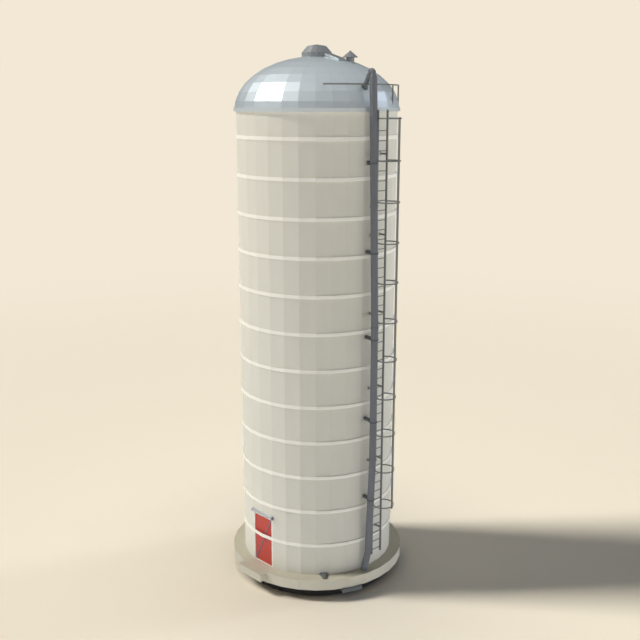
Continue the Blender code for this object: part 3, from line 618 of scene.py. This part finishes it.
# Pipe clamps
# Each band is drawn round the pipe by two bolts, and its stub is welded to a plate anchored to the wall.
# The plates are washed over with the wall.
CLAMP_FIRST, CLAMP_SPACING = 3.37, 2.73
CLAMP_FACET, CLAMP_ASIDE = 84.375, -0.08
CLAMP_PLATE = (0.22, 0.165, 0.008)
ANCHOR_ASIDE, ANCHOR_STEP = 0.09, 0.058
BAND_REACH = 0.127
shape = bmesh.new()
anchors = []
band_bolts = []
for number in range(len(CLAMP_NODES)):
    height = CLAMP_FIRST + CLAMP_SPACING * number
    add_plate(shape, on_face(CLAMP_FACET, WALL_FACE, CLAMP_ASIDE, height), CLAMP_PLATE, PLATE_EDGE)
    for aside in (CLAMP_ASIDE - ANCHOR_ASIDE, CLAMP_ASIDE + ANCHOR_ASIDE):
        for step in (-ANCHOR_STEP, ANCHOR_STEP):
            anchors.append(on_face(CLAMP_FACET, WALL_FACE + CLAMP_PLATE[2], aside, height + step))
    for turn in (-math.pi / 2.0, math.pi / 2.0):
        stand = pipe_frame(height) @ Matrix.Rotation(turn, 4, "Y")
        band_bolts.append(stand @ Matrix.Translation((0.0, 0.0, BAND_REACH)))
settle("clamp_wall_plates", shape, WALL_FINISH, "silo")
fasten("clamp_anchors", anchors, M12, ZINC_FINISH, "silo")
fasten("clamp_band_bolts", band_bolts, M12, ZINC_FINISH, "silo")

# Galvanised fittings
# The drain lip and the air duct are folded sheet, hot-dip galvanised and left bare.
# Five pressed louvres let air out of the duct's face, which is held by a screw at each corner.
cover(ZINC_FINISH, ["drain_lip", "air_duct"])
DUCT_AZIMUTH, DUCT_FACE = 68.4, 3.05
LOUVRES, LOUVRE_FIRST, LOUVRE_PITCH = 5, 0.303, 0.022
LOUVRE_SIZE = (0.62, 0.016, 0.008)
LOUVRE_PROUD = 0.003
DUCT_SCREW_ASIDE, DUCT_SCREW_HEIGHTS = 0.33, (0.3, 0.395)
shape = bmesh.new()
for number in range(LOUVRES):
    height = LOUVRE_FIRST + LOUVRE_PITCH * number
    louvre = on_face(DUCT_AZIMUTH, DUCT_FACE + LOUVRE_PROUD, 0.0, height)
    add_plate(shape, louvre, LOUVRE_SIZE, PLATE_EDGE)
settle("duct_louvres", shape, ZINC_FINISH, "silo")
stands = []
for aside in (-DUCT_SCREW_ASIDE, DUCT_SCREW_ASIDE):
    stands += [on_face(DUCT_AZIMUTH, DUCT_FACE, aside, height) for height in DUCT_SCREW_HEIGHTS]
fasten("duct_bolts", stands, M8, ZINC_FINISH, "silo")

# Door
# A steel leaf enamelled red, in a cream steel frame that is set flush in the wall.
# The frame is screwed to the concrete down both its sides.


def red_enamel():
    """Red brush enamel with fine upright brush marks and a satin gloss."""
    finish, tree, spot = start_finish("red_door_enamel")
    stretched = add_node(tree, "ShaderNodeMapping", {"Vector": spot, "Scale": (1.0, 1.0, 0.05)})
    marks = add_node(tree, "ShaderNodeTexNoise", {
        "Vector": stretched.outputs["Vector"], "Scale": cells(10), "Detail": 2.0})
    tone = add_node(tree, "ShaderNodeMix", {
        0: marks.outputs["Fac"], MIX_A: linear("#c04538"), MIX_B: linear("#c94b3e")}, data_type="RGBA")
    close_finish(tree, {"Base Color": tone.outputs[MIX_RESULT], "Roughness": 0.45})
    return finish


cover(red_enamel(), ["door_leaf"])
cover(HOOP_FINISH, ["door_frame"])
DOOR_AZIMUTH = 0.0
FRAME_FACE = 2.552
FRAME_SCREW_ASIDE = 0.45
FRAME_SCREW_HEIGHTS = (0.95, 1.3, 1.6, 2.05, 2.35)
stands = []
for aside in (-FRAME_SCREW_ASIDE, FRAME_SCREW_ASIDE):
    stands += [on_face(DOOR_AZIMUTH, FRAME_FACE, aside, height) for height in FRAME_SCREW_HEIGHTS]
fasten("door_frame_screws", stands, M8, ZINC_FINISH, "silo")

# Door brace
# A round bar in a sleeve runs from corner to corner of the leaf, painted violet grey.
# It is bolted to the leaf through a lug at each end, and moves with it.
BRACE_FINISH = machine_paint("violet_grey_paint", "#857f92", "#928b9e", 0.2)
BRACE_LOW, BRACE_HIGH = Vector((-0.36, -2.534, 0.87)), Vector((0.36, -2.534, 2.39))
SLEEVE_RADIUS, SLEEVE_BORE, SLEEVE_LIP = 0.019, 0.01045, 0.01615
SLEEVE_EASE = 0.004
SLEEVE_END = 0.06
run = BRACE_HIGH - BRACE_LOW
tilt = math.atan2(run.x, run.z)
length = run.length - 2.0 * SLEEVE_END
sleeve = [(SLEEVE_BORE, 0.0), (SLEEVE_LIP, 0.0), (SLEEVE_RADIUS, SLEEVE_EASE),
          (SLEEVE_RADIUS, length - SLEEVE_EASE), (SLEEVE_LIP, length), (SLEEVE_BORE, length)]
foot = Matrix.Translation(BRACE_LOW + SLEEVE_END * run.normalized()) @ Matrix.Rotation(tilt, 4, "Y")
shape = bmesh.new()
add_ring(shape, foot, sleeve)
settle("door_brace_sleeve", shape, BRACE_FINISH, "door")

LUG_SIZE = (0.05, 0.11, 0.016)
LUG_EDGE = 0.004
LUG_BOLT = 0.035
LEAF_FACE = 2.53
shape = bmesh.new()
stands = []
for end in (BRACE_LOW, BRACE_HIGH):
    stand = on_face(DOOR_AZIMUTH, LEAF_FACE, end.x, end.z) @ Matrix.Rotation(-tilt, 4, "Z")
    add_plate(shape, stand, LUG_SIZE, LUG_EDGE)
    stands += [stand @ Matrix.Translation((0.0, step, LUG_SIZE[2])) for step in (-LUG_BOLT, LUG_BOLT)]
settle("door_brace_lugs", shape, BRACE_FINISH, "door")
fasten("door_brace_bolts", stands, M8, ZINC_FINISH, "door")

# Drip bar over the door
# A zinc-coated round bar, cut flat where it lies on the wall, that throws the rain clear of the door.
# A pressed cap closes each of its ends; their dark paint is painted shade, for the bar's end that stands in
# shadow.
cover(hot_dip_zinc("polished_zinc", "#cfd4d8", "#e2e6e9", 0.25), ["door_drip_bar"])
BAR_Y, BAR_Z = -2.585, 2.595
BAR_ENDS = ((-0.49, 1.0), (0.53, -1.0))
END_CAP_RADIUS, END_CAP_LENGTH, END_CAP_PROUD = 0.061, 0.035, 0.004
END_CAP_SIDES = 20
# The wall's flat faces beside the door fall back by this much for each metre aside.
FACE_FALL = 0.0985


def end_cap_rim(shape, x, back):
    """The points round an end cap at this X, none of them further back than the wall's face."""
    rim = []
    for step in range(END_CAP_SIDES):
        angle = 2.0 * math.pi * (step + 0.5) / END_CAP_SIDES
        y = min(BAR_Y + END_CAP_RADIUS * math.cos(angle), back)
        rim.append(shape.verts.new((x, y, BAR_Z + END_CAP_RADIUS * math.sin(angle))))
    return rim


shape = bmesh.new()
for end, inward in BAR_ENDS:
    back = FACE_FALL * abs(end) - WALL_RADIUS
    inner = end_cap_rim(shape, end + inward * END_CAP_LENGTH, back)
    outer = end_cap_rim(shape, end - inward * END_CAP_PROUD, back)
    for i in range(END_CAP_SIDES):
        k = (i + 1) % END_CAP_SIDES
        shape.faces.new((inner[i], inner[k], outer[k], outer[i]))
    shape.faces.new(inner)
    shape.faces.new(outer)
# The caps take the brace's dark paint as painted shade for the bar's shaded end.
settle("drip_bar_caps", shape, BRACE_FINISH, "silo")

# Floor
# A plain pale studio floor, with painted shade that darkens it round the silo's foot and a painted shadow
# under the slab's rim.
# It fades into the backdrop's own colour far behind the silo.
BACKDROP = linear("#f2e8d5")
FLOOR_HALF = 300.0
FLOOR_FAR = (1.6, 1.45, 1.17, 1.0)
# Near the silo the floor's colour is darker than far off: painted shade.
FLOOR_NEAR_PAINTED_SHADE = (1.12, 1.02, 0.86, 1.0)
FLOOR_BOUNCE = (1.5, 1.5, 1.5, 1.0)
FLOOR_GLOSS = (1.12, 1.09, 1.02, 1.0)
GLOW_GLOSS = 1.1
SHADE_NEAR_START, SHADE_NEAR_END = 3.0, 12.0
# Under the slab's rim the floor's colour falls to this share: a painted shadow.
PAINTED_SHADOW_START, PAINTED_SHADOW_END = 2.62, 3.04
PAINTED_SHADOW_TONE = 0.22
FADE_START, FADE_END = 22.0, 60.0


def studio_floor():
    """Matt cream for the camera with painted shade near the silo, and a neutral white for the light that it
    throws back on the silo.
    """
    finish, tree, spot = start_finish("studio_floor")
    reach = add_node(tree, "ShaderNodeVectorMath", {0: spot}, operation="LENGTH")
    near = add_node(tree, "ShaderNodeMapRange", {
        "Value": reach.outputs["Value"], "From Min": SHADE_NEAR_START, "From Max": SHADE_NEAR_END,
        "To Min": 1.0, "To Max": 0.0})
    squared = add_node(tree, "ShaderNodeMath", {
        0: near.outputs["Result"], 1: near.outputs["Result"]}, operation="MULTIPLY")
    # The floor darkens towards the silo's foot and goes dark under the slab's rim: painted shade and a
    # painted shadow, for camera rays only.
    cream = add_node(tree, "ShaderNodeMix", {
        0: squared.outputs["Value"], MIX_A: FLOOR_FAR, MIX_B: FLOOR_NEAR_PAINTED_SHADE}, data_type="RGBA")
    under = add_node(tree, "ShaderNodeMapRange", {
        "Value": reach.outputs["Value"], "From Min": PAINTED_SHADOW_START, "From Max": PAINTED_SHADOW_END,
        "To Min": PAINTED_SHADOW_TONE})
    shaded = add_node(tree, "ShaderNodeVectorMath", {
        0: cream.outputs[MIX_RESULT], "Scale": under.outputs["Result"]}, operation="SCALE")
    fade = add_node(tree, "ShaderNodeMapRange", {
        "Value": reach.outputs["Value"], "From Min": FADE_START, "From Max": FADE_END},
        interpolation_type="SMOOTHSTEP")
    seen = add_node(tree, "ShaderNodeLightPath", {})
    thrown = add_node(tree, "ShaderNodeMix", {
        0: seen.outputs["Is Glossy Ray"], MIX_A: FLOOR_BOUNCE, MIX_B: FLOOR_GLOSS}, data_type="RGBA")
    shown = add_node(tree, "ShaderNodeMix", {
        0: seen.outputs["Is Camera Ray"], MIX_A: thrown.outputs[MIX_RESULT],
        MIX_B: shaded.outputs["Vector"]}, data_type="RGBA")
    matt = add_node(tree, "ShaderNodeBsdfDiffuse", {"Color": shown.outputs[MIX_RESULT]})
    strength = add_node(tree, "ShaderNodeMapRange", {
        "Value": seen.outputs["Is Glossy Ray"], "To Min": 1.0, "To Max": GLOW_GLOSS})
    glow = add_node(tree, "ShaderNodeEmission", {
        "Color": BACKDROP, "Strength": strength.outputs["Result"]})
    blend = add_node(tree, "ShaderNodeMixShader", {
        0: fade.outputs["Result"], 1: matt.outputs["BSDF"], 2: glow.outputs["Emission"]})
    add_node(tree, "ShaderNodeOutputMaterial", {"Surface": blend.outputs["Shader"]})
    return finish


bpy.ops.mesh.primitive_plane_add(size=2.0 * FLOOR_HALF, location=(0.0, 0.0, 0.0))
floor = bpy.context.object
floor.name = "studio_floor"
floor.data.materials.append(studio_floor())

# Light
# One soft key from the left, a weak cool light from behind on the right, and an even sky.
# Each light's gloss comes from a lamp of its own, so that the flashes on the roof can be placed.


def sun_lamp(name, azimuth, elevation, strength, colour, width):
    """A sun whose light comes from this azimuth and elevation in degrees."""
    lamp = bpy.data.lights.new(name, "SUN")
    lamp.energy = strength
    lamp.color = colour
    lamp.angle = math.radians(width)
    item = bpy.data.objects.new(name, lamp)
    bpy.context.scene.collection.objects.link(item)
    up = math.radians(elevation)
    source = math.cos(up) * facing_out(azimuth) + Vector((0.0, 0.0, math.sin(up)))
    item.rotation_euler = source.to_track_quat("Z", "Y").to_euler()
    return item


KEY_TINT, RIM_TINT = (1.0, 0.987, 0.951), (0.8, 0.87, 1.0)
KEY_WIDTH, RIM_WIDTH = 11.0, 12.0
key_light = sun_lamp("key_light", -45.7, 44.0, 1.93, KEY_TINT, KEY_WIDTH)
key_light.visible_glossy = False
key_sheen = sun_lamp("key_sheen", -43.5, 44.0, 1.9, KEY_TINT, KEY_WIDTH)
key_sheen.visible_diffuse = False
rim_light = sun_lamp("rim_light", 154.0, 9.0, 0.95, RIM_TINT, RIM_WIDTH)
rim_light.visible_glossy = False
rim_sheen = sun_lamp("rim_sheen", 154.0, 20.0, 0.2, RIM_TINT, RIM_WIDTH)
rim_sheen.visible_diffuse = False

# The panels round the studio fade to a dark ceiling, and their reflection brightens upwards.
# Each fade runs between two heights, given as the sine of the angle above the horizon.
PANEL_FADE = (0.05, 0.35)
PANEL_LIGHT = (1.37, 1.435, 1.63, 1.0)
CEILING_LIGHT = (0.0, 0.0, 0.0, 1.0)
GLOSS_FADE = (0.05, 0.95)
LOW_GLOSS = (0.09, 0.09, 0.095, 1.0)
HIGH_GLOSS = (0.51, 0.51, 0.51, 1.0)


def studio_sky():
    """The backdrop's colour for the camera, and the panels and the ceiling for all other light."""
    world = bpy.data.worlds.new("studio")
    world.use_nodes = True
    tree = world.node_tree
    tree.nodes.clear()
    seen = add_node(tree, "ShaderNodeLightPath", {})
    way = add_node(tree, "ShaderNodeTexCoord", {})
    height = add_node(tree, "ShaderNodeSeparateXYZ", {"Vector": way.outputs["Generated"]})
    panel_rise = add_node(tree, "ShaderNodeMapRange", {
        "Value": height.outputs["Z"], "From Min": PANEL_FADE[0], "From Max": PANEL_FADE[1]},
        interpolation_type="SMOOTHSTEP")
    soft = add_node(tree, "ShaderNodeMix", {
        0: panel_rise.outputs["Result"], MIX_A: PANEL_LIGHT, MIX_B: CEILING_LIGHT}, data_type="RGBA")
    gloss_rise = add_node(tree, "ShaderNodeMapRange", {
        "Value": height.outputs["Z"], "From Min": GLOSS_FADE[0], "From Max": GLOSS_FADE[1]},
        interpolation_type="SMOOTHSTEP")
    gloss = add_node(tree, "ShaderNodeMix", {
        0: gloss_rise.outputs["Result"], MIX_A: LOW_GLOSS, MIX_B: HIGH_GLOSS}, data_type="RGBA")
    thrown = add_node(tree, "ShaderNodeMix", {
        0: seen.outputs["Is Glossy Ray"], MIX_A: soft.outputs[MIX_RESULT],
        MIX_B: gloss.outputs[MIX_RESULT]}, data_type="RGBA")
    panels = add_node(tree, "ShaderNodeBackground", {"Color": thrown.outputs[MIX_RESULT]})
    backdrop = add_node(tree, "ShaderNodeBackground", {"Color": BACKDROP})
    either = add_node(tree, "ShaderNodeMixShader", {
        0: seen.outputs["Is Camera Ray"], 1: panels.outputs["Background"],
        2: backdrop.outputs["Background"]})
    add_node(tree, "ShaderNodeOutputWorld", {"Surface": either.outputs["Shader"]})
    return world


bpy.context.scene.world = studio_sky()
bpy.context.scene.view_settings.view_transform = "Standard"

# Camera
# It stands to the front right of the silo, level with its eave, and looks down a little.
# The whole silo is in view, from the floor to the cap.
lens = bpy.data.cameras.new("camera")
lens.lens = 50.0
lens.sensor_width = 36.0
lens.clip_end = 1000.0
camera = bpy.data.objects.new("camera", lens)
bpy.context.scene.collection.objects.link(camera)
camera.location = (21.121, -20.468, 16.037)
camera.rotation_euler = [math.radians(turn) for turn in (76.32, 0.0, 45.7)]
bpy.context.scene.camera = camera
